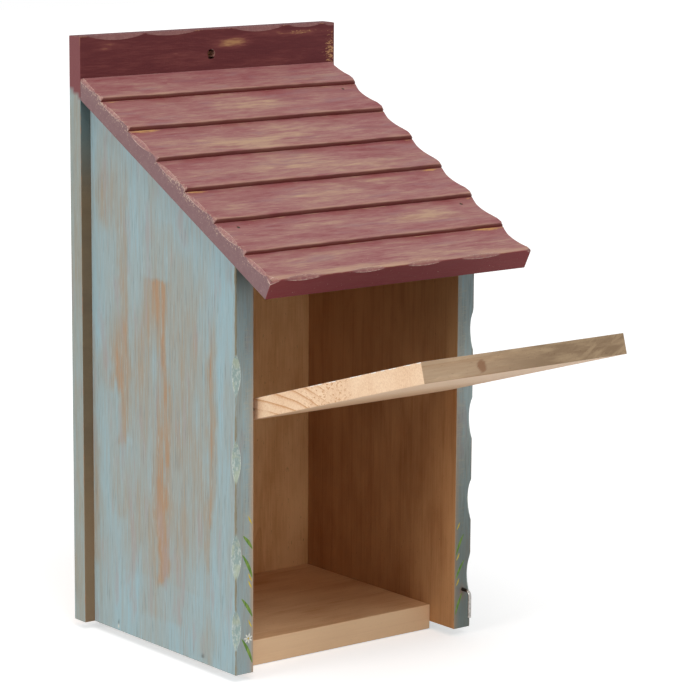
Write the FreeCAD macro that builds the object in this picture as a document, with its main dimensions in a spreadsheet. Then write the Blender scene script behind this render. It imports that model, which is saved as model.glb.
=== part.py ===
import FreeCAD, Part
import math
import os

import Sketcher

# Bird nest box: two side walls, a back board, a floor, a stepped roof board and a door on two nails.
# +Z is up, the front looks along -Y, and the origin is the middle of the floor board's underside.

doc = FreeCAD.newDocument("NestBox")

# Driving dimensions, in millimetres and degrees

SIZES = {
    # Side walls
    "inner_width": 143,
    "wall_thickness": 12,
    "wall_depth": 138.6,
    "wall_front_height": 231.3,
    # Floor: it sits back from the walls' front edges and stands a little below their lower edges
    "floor_thickness": 14.5,
    "floor_setback": 21.7,
    "floor_drop": 4.3,
    # Back board: it rises past the roof's rear end, so that its hanging hole stays clear of the roof
    "back_thickness": 11.1,
    "back_rise": 35.47,
    "back_overhang": 6.4,
    "hang_hole_diameter": 5,
    "hang_hole_drop": 14,
    # Roof board: lengths are measured along the slope
    "roof_slope": 27.2,
    "roof_thickness": 12.3,
    "roof_overhang": 6.4,
    "roof_eave": 39.5,
    "course_pitch": 30.2,
    "course_step": 2.4,
    "front_course": 26.6,
    # Door: closed, it hangs between the walls; it is shown open
    "door_thickness": 11.3,
    "door_gap_left": 3.1,
    "door_gap_right": 1.1,
    "door_proud": 1,
    "door_ground_gap": 0.5,
    "door_top_margin": 6.5,
    "door_open_angle": 106.5,
    "pivot_height": 150,
    # Hinge nails
    "hinge_nail_diameter": 2.2,
    "hinge_nail_length": 32,
    "hinge_nail_head": 4,
    "hinge_clearance": 0.06,
    # Brads that hold the boards together
    "brad_diameter": 1.6,
    "brad_length": 30,
    "brad_head": 2.6,
    "nail_head_thickness": 1,
    "nail_point": 3,
    "nail_fit": 0.02,
    "nail_sink": 0.4,
    "floor_nail_front": 9,
    "floor_nail_rear": 25,
    "roof_nail_upper": 22.5,
    "roof_nail_lower": 144.5,
    "back_nail_margin": 45,
    # Latch hook
    "hook_wire": 2,
    "hook_height": 27.2,
    "hook_reach": 6.5,
    "hook_leg": 15.3,
    "hook_bend": 3,
    "hook_screw": 16,
    "hook_point": 4,
    "hook_clearance": 0.05,
    # Carved scallops along the edges
    "wall_scallop_length": 26,
    "wall_scallop_depth": 2.6,
    "wall_scallop_pitch": 47.2,
    "left_scallop_height": 29.7,
    "right_scallop_height": 35.3,
    "wall_scallop_count": 4,
    "roof_scallop_length": 23,
    "roof_scallop_depth": 2.4,
    "roof_scallop_offset": 13,
    "edge_scallop_length": 36,
    "edge_scallop_depth": 1.7,
    "edge_scallop_pitch": 42,
}

sheet = doc.addObject("Spreadsheet::Sheet", "Sizes")
for row, (alias, size) in enumerate(SIZES.items(), start=1):
    sheet.set(f"A{row}", alias)
    sheet.set(f"B{row}", str(size))
    sheet.setAlias(f"B{row}", alias)
doc.recompute()

# Places that several pieces share, as expressions of the driving dimensions

FRONT_Y = "(-(Sizes.wall_depth + Sizes.floor_setback) / 2)"
BACK_Y = "((Sizes.wall_depth - Sizes.floor_setback) / 2)"
FLOOR_FRONT_Y = f"({FRONT_Y} + Sizes.floor_setback)"
INNER_X = "(Sizes.inner_width / 2)"
OUTER_X = "(Sizes.inner_width / 2 + Sizes.wall_thickness)"
MIDDLE_X = "(Sizes.inner_width / 2 + Sizes.wall_thickness / 2)"
WALL_BASE_Z = "Sizes.floor_drop"
SLOPE = "(Sizes.roof_slope * 1deg)"
WALL_BACK_HEIGHT = f"(Sizes.wall_front_height + Sizes.wall_depth * tan({SLOPE}))"
ROOF_REAR_Z = f"({WALL_BASE_Z} + {WALL_BACK_HEIGHT})"
BACK_TOP_Z = f"({ROOF_REAR_Z} + Sizes.back_rise)"
ROOF_LENGTH = f"(Sizes.wall_depth / cos({SLOPE}) + Sizes.roof_eave)"
PIVOT_Y = f"({FRONT_Y} + Sizes.door_thickness / 2 - Sizes.door_proud)"

DIAGONAL = math.sqrt(0.5)
# A scallop across a square edge is two depths wide; its cutter reaches well past both faces
CUTTER_DEPTHS = 6
SIDES = {"left": -1, "right": 1}


def value(expression):
    """Number that an expression of the sheet gives now."""
    result = sheet.evalExpression(expression)
    return float(getattr(result, "Value", result))


def bind(item, **expressions):
    """Bind properties to expressions; a double underscore stands for a dot in the property's path."""
    for path, expression in expressions.items():
        item.setExpression(path.replace("__", "."), expression)


def place(item, position, axis=None, angle=None):
    """Place an object at three expressions, turned about a fixed axis by an angle expression."""
    if axis is not None:
        turn = FreeCAD.Rotation(FreeCAD.Vector(*axis), value(angle))
        item.Placement = FreeCAD.Placement(FreeCAD.Vector(), turn)
        bind(item, Placement__Rotation__Angle=angle)
    bind(item, Placement__Base__x=position[0], Placement__Base__y=position[1], Placement__Base__z=position[2])


def new_body(label):
    body = doc.addObject("PartDesign::Body", label)
    body.Label = label
    return body


def origin_feature(body, role):
    return next(item for item in body.Origin.OriginFeatures if item.Role == role)


def new_sketch(body, name, plane, offset=None):
    """Sketch on one of the body's origin planes, moved along the plane's normal by an expression."""
    sketch = body.newObject("Sketcher::SketchObject", name)
    sketch.AttachmentSupport = [(origin_feature(body, plane), "")]
    sketch.MapMode = "FlatFace"
    if offset is not None:
        bind(sketch, AttachmentOffset__Base__z=offset)
    return sketch


def tie_point(sketch, edge, across, upward):
    """Tie the start point of an edge to two distances from the sketch's origin."""
    for kind, axis, expression in (("DistanceX", -2, across), ("DistanceY", -1, upward)):
        if expression == "0":
            sketch.addConstraint(Sketcher.Constraint("PointOnObject", edge, 1, axis))
            continue
        distance = Sketcher.Constraint(kind, -1, 1, edge, 1, value(expression))
        index = sketch.addConstraint(distance)
        sketch.setExpression(f"Constraints[{index}]", expression)


def polygon(sketch, corners):
    """Closed outline through corners that are pairs of expressions."""
    points = [FreeCAD.Vector(value(across), value(upward), 0) for across, upward in corners]
    last = len(points) - 1
    for edge, point in enumerate(points):
        following = points[0 if edge == last else edge + 1]
        sketch.addGeometry(Part.LineSegment(point, following))
    for edge in range(len(points)):
        following = 0 if edge == last else edge + 1
        sketch.addConstraint(Sketcher.Constraint("Coincident", edge, 2, following, 1))
    for edge, (across, upward) in enumerate(corners):
        tie_point(sketch, edge, across, upward)
    return sketch


def pad(body, sketch, length, reverse=False, midplane=False):
    feature = body.newObject("PartDesign::Pad", f"{body.Name}_pad")
    feature.Profile = sketch
    feature.Reversed = reverse
    feature.Midplane = midplane
    bind(feature, Length=length)
    return feature


def cut_cylinder(body, name, radius, height, position, axis, angle):
    """Take a cylinder out of a body: it starts at the position and runs along its own turned +Z."""
    cutter = body.newObject("PartDesign::SubtractiveCylinder", name)
    bind(cutter, Radius=radius, Height=height)
    place(cutter, position, axis, angle)
    return cutter


# Nails: each has a place at the top of its head and a turn that aims its point along its own +Z


class Nail:
    """One nail: its sizes, its place in the shared frame and the turn that aims it.

    A roof nail also keeps its distance down the slope.
    """

    def __init__(self, label, kind, position, axis, angle, down=None):
        self.label = label
        self.shank = f"Sizes.{kind}_diameter / 2"
        self.head = f"Sizes.{kind}_head / 2"
        self.length = f"Sizes.{kind}_length"
        self.position = position
        self.axis = axis
        self.angle = angle
        self.down = down

    def build(self):
        body = new_body(self.label)
        shoulder = f"{self.length} - Sizes.nail_point"
        outline = [
            ("0", "0"),
            (self.head, "0"),
            (self.head, "Sizes.nail_head_thickness"),
            (self.shank, "Sizes.nail_head_thickness"),
            (self.shank, shoulder),
            ("0", self.length),
        ]
        sketch = polygon(new_sketch(body, f"{self.label}_outline", "XZ_Plane"), outline)
        turned = body.newObject("PartDesign::Revolution", f"{self.label}_turned")
        turned.Profile = sketch
        turned.ReferenceAxis = (sketch, ["V_Axis"])
        turned.Angle = 360
        place(body, self.position, self.axis, self.angle)
        return body

    def drill(self, body, clearance, with_head, position=None, angle=None):
        """Cut this nail's hole, and its head's pocket, at its own place or at a place in a turned body."""
        position = position or self.position
        angle = angle or self.angle
        name = f"{body.Name}_{self.label}"
        radius = f"{self.shank} + {clearance}"
        depth = f"{self.length} + {clearance}"
        cut_cylinder(body, f"{name}_hole", radius, depth, position, self.axis, angle)
        if with_head:
            pocket = f"{self.head} + {clearance}"
            height = "Sizes.nail_head_thickness"
            cut_cylinder(body, f"{name}_pocket", pocket, height, position, self.axis, angle)


def side_nail(label, kind, side, y, z):
    """Nail driven level through a side wall towards the middle, its head flush with the wall."""
    sign = SIDES[side]
    return Nail(label, kind, (f"{sign} * {OUTER_X}", y, z), (0, 1, 0), str(-90 * sign))


HINGE_NAILS = {}
FLOOR_NAILS = {"left": [], "right": []}
BACK_NAILS = {"left": [], "right": []}
ROOF_NAILS = {"left": [], "right": []}

FLOOR_NAIL_Y = {
    "front": f"{FLOOR_FRONT_Y} + Sizes.floor_nail_front",
    "rear": f"{BACK_Y} - Sizes.floor_nail_rear",
}
BACK_NAIL_Z = {
    "lower": f"{WALL_BASE_Z} + Sizes.back_nail_margin",
    "middle": f"{WALL_BASE_Z} + {WALL_BACK_HEIGHT} / 2",
    "upper": f"{ROOF_REAR_Z} - Sizes.back_nail_margin",
}
ROOF_NAIL_DOWN = {"upper": "Sizes.roof_nail_upper", "lower": "Sizes.roof_nail_lower"}


def roof_top(down):
    """Height of the roof's stepped top above its underside, at a distance down the slope."""
    from_front = value(f"{ROOF_LENGTH} - {down}")
    first = value("Sizes.front_course")
    pitch = value("Sizes.course_pitch")
    courses = max(0, math.floor((from_front - first) / pitch) + 1)
    start = f"(Sizes.front_course + {courses - 1} * Sizes.course_pitch)" if courses else "0"
    fall = "Sizes.course_step / Sizes.course_pitch"
    return f"(Sizes.roof_thickness - {fall} * ({ROOF_LENGTH} - {down} - {start}))"


def roof_nail_place(side, down):
    """Place of a roof nail's head in the roof board's own frame."""
    top = f"{roof_top(down)} - Sizes.nail_sink"
    return (f"{SIDES[side]} * {MIDDLE_X}", f"-{down}", top)


for side in SIDES:
    HINGE_NAILS[side] = side_nail(f"{side}_hinge_nail", "hinge_nail", side, PIVOT_Y, "Sizes.pivot_height")
    for where, y in FLOOR_NAIL_Y.items():
        nail = side_nail(f"{side}_{where}_floor_nail", "brad", side, y, "Sizes.floor_thickness / 2")
        FLOOR_NAILS[side].append(nail)
    for where, z in BACK_NAIL_Z.items():
        position = (f"{SIDES[side]} * {MIDDLE_X}", f"{BACK_Y} + Sizes.back_thickness", z)
        BACK_NAILS[side].append(Nail(f"{side}_{where}_back_nail", "brad", position, (1, 0, 0), "90"))
    for where, down in ROOF_NAIL_DOWN.items():
        x, along, top = roof_nail_place(side, down)
        y = f"{BACK_Y} + ({along}) * cos({SLOPE}) - ({top}) * sin({SLOPE})"
        z = f"{ROOF_REAR_Z} + ({along}) * sin({SLOPE}) + ({top}) * cos({SLOPE})"
        aim = "Sizes.roof_slope + 180"
        ROOF_NAILS[side].append(Nail(f"{side}_{where}_roof_nail", "brad", (x, y, z), (1, 0, 0), aim, down))


# Scallops: shallow round cuts across an edge, made with a large cylinder


def scallop(body, name, kind, edge, outward, run):
    """Scallop at a point of an edge that runs along one vector, cut inwards against the outward vector."""
    length = f"Sizes.{kind}_length"
    depth = f"Sizes.{kind}_depth"
    radius = f"(({length} ^ 2 / 4 + {depth} ^ 2) / (2 * {depth}))"
    width = f"({CUTTER_DEPTHS} * {depth})"
    across = FreeCAD.Vector(*run).cross(FreeCAD.Vector(*outward))
    aim = FreeCAD.Rotation(FreeCAD.Vector(0, 0, 1), across)
    position = [
        f"{at} + {out} * ({radius} - {depth}) - {side} * {width} / 2"
        for at, out, side in zip(edge, outward, across)
    ]
    turn = (aim.Axis.x, aim.Axis.y, aim.Axis.z)
    return cut_cylinder(body, name, radius, width, position, turn, str(math.degrees(aim.Angle)))


def repeat(body, feature, role, pitch, count):
    """Repeat a feature along one of the body's axes."""
    pattern = body.newObject("PartDesign::LinearPattern", f"{feature.Name}_row")
    pattern.Originals = [feature]
    pattern.Direction = (origin_feature(body, role), [""])
    pattern.Occurrences = count
    bind(pattern, Length=f"{pitch} * {count - 1}")
    body.Tip = pattern
    return pattern


# Side walls


def build_wall(side):
    sign = SIDES[side]
    body = new_body(f"{side}_wall")
    top_front = f"{WALL_BASE_Z} + Sizes.wall_front_height"
    outline = [
        (FRONT_Y, WALL_BASE_Z),
        (BACK_Y, WALL_BASE_Z),
        (BACK_Y, ROOF_REAR_Z),
        (FRONT_Y, top_front),
    ]
    sketch = polygon(new_sketch(body, f"{side}_wall_outline", "YZ_Plane", f"{sign} * {INNER_X}"), outline)
    pad(body, sketch, "Sizes.wall_thickness", reverse=sign < 0)
    edge = (f"{sign} * {OUTER_X}", FRONT_Y, f"Sizes.{side}_scallop_height")
    outward = (sign * DIAGONAL, -DIAGONAL, 0)
    first = scallop(body, f"{side}_wall_scallop", "wall_scallop", edge, outward, (0, 0, 1))
    count = round(value("Sizes.wall_scallop_count"))
    repeat(body, first, "Z_Axis", "Sizes.wall_scallop_pitch", count)
    HINGE_NAILS[side].drill(body, "Sizes.nail_fit", with_head=True)
    for nail in FLOOR_NAILS[side]:
        nail.drill(body, "Sizes.nail_fit", with_head=True)
    for nail in BACK_NAILS[side] + ROOF_NAILS[side]:
        nail.drill(body, "Sizes.nail_fit", with_head=False)
    return body


# Floor board


def build_floor():
    body = new_body("floor_board")
    outline = [
        (f"-{INNER_X}", FLOOR_FRONT_Y),
        (INNER_X, FLOOR_FRONT_Y),
        (INNER_X, BACK_Y),
        (f"-{INNER_X}", BACK_Y),
    ]
    pad(body, polygon(new_sketch(body, "floor_outline", "XY_Plane"), outline), "Sizes.floor_thickness")
    for nail in FLOOR_NAILS["left"] + FLOOR_NAILS["right"]:
        nail.drill(body, "Sizes.nail_fit", with_head=False)
    return body


# Back board with its hanging hole


def edge_scallops(body, name, width, edge):
    """Row of scallops along the upper front edge of a board, centred on its width."""
    pitch = "Sizes.edge_scallop_pitch"
    count = max(2, math.floor(value(f"{width} / {pitch}")))
    start = (f"-{pitch} * {(count - 1) / 2}",) + edge
    first = scallop(body, name, "edge_scallop", start, (0, -DIAGONAL, DIAGONAL), (1, 0, 0))
    repeat(body, first, "X_Axis", pitch, count)


def build_back():
    body = new_body("back_board")
    half = f"({OUTER_X} + Sizes.back_overhang)"
    outline = [
        (f"-{half}", WALL_BASE_Z),
        (half, WALL_BASE_Z),
        (half, BACK_TOP_Z),
        (f"-{half}", BACK_TOP_Z),
    ]
    # The sketch plane looks forwards, so its offset is the depth with the sign turned
    sketch = polygon(new_sketch(body, "back_outline", "XZ_Plane", f"-{BACK_Y}"), outline)
    pad(body, sketch, "Sizes.back_thickness", reverse=True)
    edge_scallops(body, "back_scallop", f"2 * {half}", (BACK_Y, BACK_TOP_Z))
    radius = "Sizes.hang_hole_diameter / 2"
    position = ("0", f"{BACK_Y} + Sizes.back_thickness", f"{BACK_TOP_Z} - Sizes.hang_hole_drop")
    cut_cylinder(body, "hanging_hole", radius, "Sizes.back_thickness", position, (1, 0, 0), "90")
    for nail in BACK_NAILS["left"] + BACK_NAILS["right"]:
        nail.drill(body, "Sizes.nail_fit", with_head=True)
    return body


# Roof board: drawn flat with +Y up the slope, then tilted; its rear end butts against the back board


def build_roof():
    body = new_body("roof_board")
    half = f"({OUTER_X} + Sizes.roof_overhang)"
    front = f"-{ROOF_LENGTH}"
    thick = "Sizes.roof_thickness"
    fall = "(Sizes.course_step / Sizes.course_pitch)"
    rear_reach = value(f"{thick} * tan({SLOPE})")
    room = value(ROOF_LENGTH) + rear_reach - value("Sizes.front_course")
    steps = math.floor(room / value("Sizes.course_pitch"))

    outline = [("0", "0"), (front, "0"), (front, thick)]
    start = front
    for step in range(steps):
        line = f"({front} + Sizes.front_course + {step} * Sizes.course_pitch)"
        outline.append((line, f"{thick} - {fall} * ({line} - ({start}))"))
        outline.append((line, thick))
        start = line
    rear_height = f"(({thick} + {fall} * ({start})) / (1 + {fall} * tan({SLOPE})))"
    outline.append((f"{rear_height} * tan({SLOPE})", rear_height))
    sketch = polygon(new_sketch(body, "roof_outline", "YZ_Plane"), outline)
    pad(body, sketch, f"2 * {half}", midplane=True)

    along = f"{front} + Sizes.front_course - Sizes.roof_scallop_offset"
    height = f"{thick} - {fall} * (Sizes.course_pitch - Sizes.roof_scallop_offset)"
    for side, sign in SIDES.items():
        outward = (sign * DIAGONAL, 0, DIAGONAL)
        edge = (f"{sign} * {half}", along, height)
        first = scallop(body, f"roof_{side}_scallop", "roof_scallop", edge, outward, (0, 1, 0))
        repeat(body, first, "Y_Axis", "Sizes.course_pitch", steps + 1)
    edge_scallops(body, "roof_front_scallop", f"2 * {half}", (front, thick))
    for side in SIDES:
        for nail in ROOF_NAILS[side]:
            nail.drill(body, "Sizes.nail_fit", True, roof_nail_place(side, nail.down), "180")
    place(body, ("0", BACK_Y, ROOF_REAR_Z), (1, 0, 0), "Sizes.roof_slope")
    return body


# Door: drawn hanging closed about its pivot line, then swung open


def build_door():
    body = new_body("front_door")
    middle = "((Sizes.door_gap_left - Sizes.door_gap_right) / 2)"
    half = "(Sizes.inner_width / 2 - (Sizes.door_gap_left + Sizes.door_gap_right) / 2)"
    reach = "(Sizes.pivot_height - Sizes.door_ground_gap)"
    face = "Sizes.door_thickness / 2"
    outline = [
        (f"-({face})", f"-{reach}"),
        (face, f"-{reach}"),
        (face, "Sizes.door_top_margin"),
        (f"-({face})", "Sizes.door_top_margin"),
    ]
    pad(body, polygon(new_sketch(body, "door_outline", "YZ_Plane"), outline), f"2 * {half}", midplane=True)
    for side, sign in SIDES.items():
        nail = HINGE_NAILS[side]
        gap = f"Sizes.door_gap_{side}"
        radius = f"{nail.shank} + Sizes.hinge_clearance"
        depth = f"{nail.length} - Sizes.wall_thickness - {gap} + Sizes.hinge_nail_diameter / 2"
        mouth = (f"{sign} * {half}", "0", "0")
        cut_cylinder(body, f"door_{side}_bore", radius, depth, mouth, nail.axis, nail.angle)
    place(body, (middle, PIVOT_Y, "Sizes.pivot_height"), (1, 0, 0), "-Sizes.door_open_angle")
    return body


# Latch hook: a wire screwed into the right wall's front edge, bent down outside


def build_hook(right_wall):
    body = new_body("latch_hook")
    radius = "(Sizes.hook_wire / 2)"
    shank_end = "(Sizes.hook_screw - Sizes.hook_point)"
    straight = "(Sizes.hook_reach - Sizes.hook_bend)"

    path = new_sketch(body, "hook_path", "YZ_Plane")
    bend = value("Sizes.hook_bend")
    centre = FreeCAD.Vector(-value(straight), -bend, 0)
    bend_start = FreeCAD.Vector(-value(straight), 0, 0)
    bend_end = FreeCAD.Vector(-value("Sizes.hook_reach"), -bend, 0)
    leg_end = FreeCAD.Vector(-value("Sizes.hook_reach"), -value("Sizes.hook_leg"), 0)
    circle = Part.Circle(centre, FreeCAD.Vector(0, 0, 1), bend)
    path.addGeometry(Part.LineSegment(FreeCAD.Vector(value(shank_end), 0, 0), bend_start))
    path.addGeometry(Part.ArcOfCircle(circle, math.pi / 2, math.pi))
    path.addGeometry(Part.LineSegment(leg_end, bend_end))
    path.addConstraint(Sketcher.Constraint("Tangent", 0, 2, 1, 1))
    path.addConstraint(Sketcher.Constraint("Tangent", 1, 2, 2, 2))
    path.addConstraint(Sketcher.Constraint("Horizontal", 0))
    path.addConstraint(Sketcher.Constraint("Vertical", 2))
    curve = path.addConstraint(Sketcher.Constraint("Radius", 1, bend))
    path.setExpression(f"Constraints[{curve}]", "Sizes.hook_bend")
    tie_point(path, 0, shank_end, "0")
    tie_point(path, 2, "-Sizes.hook_reach", "-Sizes.hook_leg")

    section = new_sketch(body, "hook_section", "XZ_Plane", f"-{shank_end}")
    wire = Part.Circle(FreeCAD.Vector(0, 0, 0), FreeCAD.Vector(0, 0, 1), value(radius))
    section.addGeometry(wire)
    section.addConstraint(Sketcher.Constraint("Coincident", 0, 3, -1, 1))
    size = section.addConstraint(Sketcher.Constraint("Radius", 0, value(radius)))
    section.setExpression(f"Constraints[{size}]", radius)

    pipe = body.newObject("PartDesign::AdditivePipe", "hook_pipe")
    pipe.Profile = section
    pipe.Spine = path
    point = body.newObject("PartDesign::AdditiveCone", "hook_point")
    bind(point, Radius1=radius, Radius2=f"{radius} / 5", Height="Sizes.hook_point")
    place(point, ("0", shank_end, "0"), (1, 0, 0), "-90")

    place(body, (MIDDLE_X, FRONT_Y, "Sizes.hook_height"))
    cut_cylinder(
        right_wall,
        "hook_hole",
        f"{radius} + Sizes.hook_clearance",
        "Sizes.hook_screw + Sizes.hook_clearance",
        (MIDDLE_X, FRONT_Y, "Sizes.hook_height"),
        (1, 0, 0),
        "-90",
    )
    return body


walls = {side: build_wall(side) for side in SIDES}
pieces = list(walls.values())
pieces += [build_floor(), build_back(), build_roof(), build_door(), build_hook(walls["right"])]
for side in SIDES:
    for nail in [HINGE_NAILS[side]] + FLOOR_NAILS[side] + ROOF_NAILS[side] + BACK_NAILS[side]:
        pieces.append(nail.build())

doc.recompute()

# Every object must have been computed, and every piece must be one sound solid

for item in doc.Objects:
    failed = {"Invalid", "Error"} & set(item.State)
    if failed:
        raise RuntimeError(f"{item.Label} is {sorted(failed)}")
for piece in pieces:
    shape = piece.Shape
    if shape.isNull() or not shape.isValid() or len(shape.Solids) != 1:
        raise RuntimeError(f"{piece.Label} is not one valid solid")

os.makedirs("parts", exist_ok=True)
for piece in pieces:
    piece.Shape.exportStep(f"parts/{piece.Label}.step")
    print(f"{piece.Label}: {piece.Shape.Volume:.0f} mm3")
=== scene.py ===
import math

import bpy
import numpy as np
from mathutils import Matrix, Vector


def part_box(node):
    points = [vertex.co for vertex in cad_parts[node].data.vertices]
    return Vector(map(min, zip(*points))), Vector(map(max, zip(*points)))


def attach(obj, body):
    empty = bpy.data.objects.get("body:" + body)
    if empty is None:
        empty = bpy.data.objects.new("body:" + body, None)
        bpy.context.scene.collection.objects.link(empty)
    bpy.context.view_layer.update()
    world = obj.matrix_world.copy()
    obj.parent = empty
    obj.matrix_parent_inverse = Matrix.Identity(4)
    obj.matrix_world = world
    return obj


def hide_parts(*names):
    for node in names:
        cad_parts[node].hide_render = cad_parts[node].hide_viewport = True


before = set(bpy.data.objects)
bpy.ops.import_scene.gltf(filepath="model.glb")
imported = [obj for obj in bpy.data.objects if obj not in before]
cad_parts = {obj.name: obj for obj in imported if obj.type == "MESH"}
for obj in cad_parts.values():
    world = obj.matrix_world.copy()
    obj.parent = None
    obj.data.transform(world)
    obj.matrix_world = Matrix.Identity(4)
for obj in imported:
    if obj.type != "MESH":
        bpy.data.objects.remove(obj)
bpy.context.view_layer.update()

# Bird nest box: painted boards with carved edges, a wooden door on two nails and small steel hardware.
# Lengths in this file are millimetres in the shared frame; meshes are written in metres.

MM = 0.001
SIDES = {"left": -1, "right": 1}
ROOT2 = math.sqrt(2)
TINY = 1e-6
X, Y, Z = 0, 1, 2
# Sides of a board's box: an axis and an end
LEFT, RIGHT, FRONT, REAR, UNDER, TOP = (X, -1), (X, 1), (Y, -1), (Y, 1), (Z, -1), (Z, 1)


def extent(node):
    """Lowest and highest corner of a node, in millimetres."""
    low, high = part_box(node)
    return np.array(low) / MM, np.array(high) / MM


def centre_of(node):
    """Middle of a node's box, in millimetres."""
    low, high = extent(node)
    return (low + high) / 2


FRONT_Y = extent("left_wall")[0][Y]
BACK_Y = extent("back_board")[0][Y]
WALL_PEAK_Z = extent("left_wall")[1][Z]
INNER_X = extent("right_wall")[0][X]
WALL_MID_X = 77.5
SLOPE = math.radians(27.2)


# Numbers along and across the boards


def smooth(value):
    """Smooth step from 0 to 1."""
    t = np.clip(value, 0, 1)
    return t * t * (3 - 2 * t)


def blend(a, b, share):
    return a + (b - a) * share


def ripple(values, seed, longest, octaves=4):
    """Smooth seeded unevenness along one coordinate, between -1 and 1."""
    rng = np.random.default_rng(seed)
    total = np.zeros(np.shape(values))
    weight = 0
    for octave in range(octaves):
        size = 1.5 ** -octave
        phase = rng.random()
        total += size * np.sin(2 * np.pi * (values * 1.9 ** octave / longest + phase))
        weight += size
    return total / weight


def scallop_depth(along, scallops):
    """Depth of round cuts at each place along an edge; a scallop is a middle, a length and a depth."""
    depth = np.zeros(np.shape(along))
    for middle, length, deepest in scallops:
        radius = (length ** 2 / 4 + deepest ** 2) / (2 * deepest)
        away = np.minimum(np.abs(along - middle), length / 2)
        depth = np.maximum(depth, np.sqrt(radius ** 2 - away ** 2) - (radius - deepest))
    return depth


def scallop_ends(scallops):
    return [middle + half * length for middle, length, _ in scallops for half in (-0.5, 0, 0.5)]


def bands(across, along, rows, rough=1.0):
    """Mask of long streaks: each row is middle, half width, low end, high end and strength."""
    mask = np.zeros(np.shape(across))
    for middle, half, low, high, strength in rows:
        sway = 0.5 * rough * half * ripple(along + 9 * middle, 19, 70)
        inside = smooth((half - np.abs(across - middle - sway)) / (1.2 * half) + 0.5)
        ragged = along + 7 * rough * ripple(across, 17, 12, 3)
        ends = smooth((ragged - low) / (2 + 6 * rough) + 0.5) * smooth((high - ragged) / 45)
        mask = np.maximum(mask, strength * inside * ends)
    return mask


def rubs(across, along, rows):
    """Mask of soft oval rubs: each row is two middles, two half sizes and a strength."""
    mask = np.zeros(np.shape(across))
    for across_mid, along_mid, half_across, half_along, strength in rows:
        away = ((across - across_mid) / half_across) ** 2 + ((along - along_mid) / half_along) ** 2
        mask = np.maximum(mask, strength * np.exp(-away))
    return mask


def random_bands(seed, count, across, along):
    """Rows for bands() spread over a face."""
    rng = np.random.default_rng(seed)
    rows = []
    for _ in range(count):
        middle = rng.uniform(*across)
        low = rng.uniform(along[0], blend(along[0], along[1], 0.6))
        high = low + rng.uniform(0.25, 0.6) * (along[1] - along[0])
        rows.append((middle, rng.uniform(2.5, 9), low, high, rng.uniform(0.2, 0.6)))
    return rows


# Boards: closed lattices whose edges are eased, carved and worn

# Lattice lines by an edge: their distances, where the eased or carved ones end, and the last
RIM = np.array([0.0, 0.5, 1.0, 1.5, 1.7, 2.6, 3.7, 5.0])
FACET_ROWS = 1.5
REACH = 5.0
# Distance over which an edge's wear fades
EDGE_FADE = 1.3


def lines(low, high, step, extra=()):
    """Lattice lines across one axis: a fine rim at both ends, even steps between and the extra lines."""
    fixed = np.unique(np.round(np.concatenate([low + RIM, high - RIM, np.asarray(extra, float)]), 3))
    fixed = np.clip(fixed[(fixed > low - 0.01) & (fixed < high + 0.01)], low, high)
    kept = fixed[np.insert(np.diff(fixed) > 0.1, 0, True)]
    count = max(3, math.ceil((high - low - 2 * REACH) / step) + 1)
    even = np.linspace(low + REACH, high - REACH, count)[1:-1]
    clear = np.abs(even[:, None] - kept[None, :]).min(1) > 0.45 * step
    return np.sort(np.concatenate([kept, even[clear]]))


def around(places, spread=(-2.1, -1.4, -0.7, 0, 0.7, 1.4, 2.1)):
    """Lattice lines close about each place, for a nail's dimple."""
    return [place + offset for place in places for offset in spread]


def shell(xs, ys, zs):
    """Points and outward quads of the closed skin of a box lattice."""
    skin = np.ones((len(xs), len(ys), len(zs)), bool)
    skin[1:-1, 1:-1, 1:-1] = False
    number = np.full(skin.shape, -1)
    cells = np.argwhere(skin)
    number[skin] = np.arange(len(cells))
    points = np.stack([xs[cells[:, X]], ys[cells[:, Y]], zs[cells[:, Z]]], 1)
    quads = []
    for grid, turned in (
        (number[:, :, 0], True), (number[:, :, -1], False),
        (number[:, 0, :], False), (number[:, -1, :], True),
        (number[0], True), (number[-1], False),
    ):
        quad = np.stack([grid[:-1, :-1], grid[1:, :-1], grid[1:, 1:], grid[:-1, 1:]], -1).reshape(-1, 4)
        quads.append(quad[:, ::-1] if turned else quad)
    return points, np.concatenate(quads)


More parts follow.
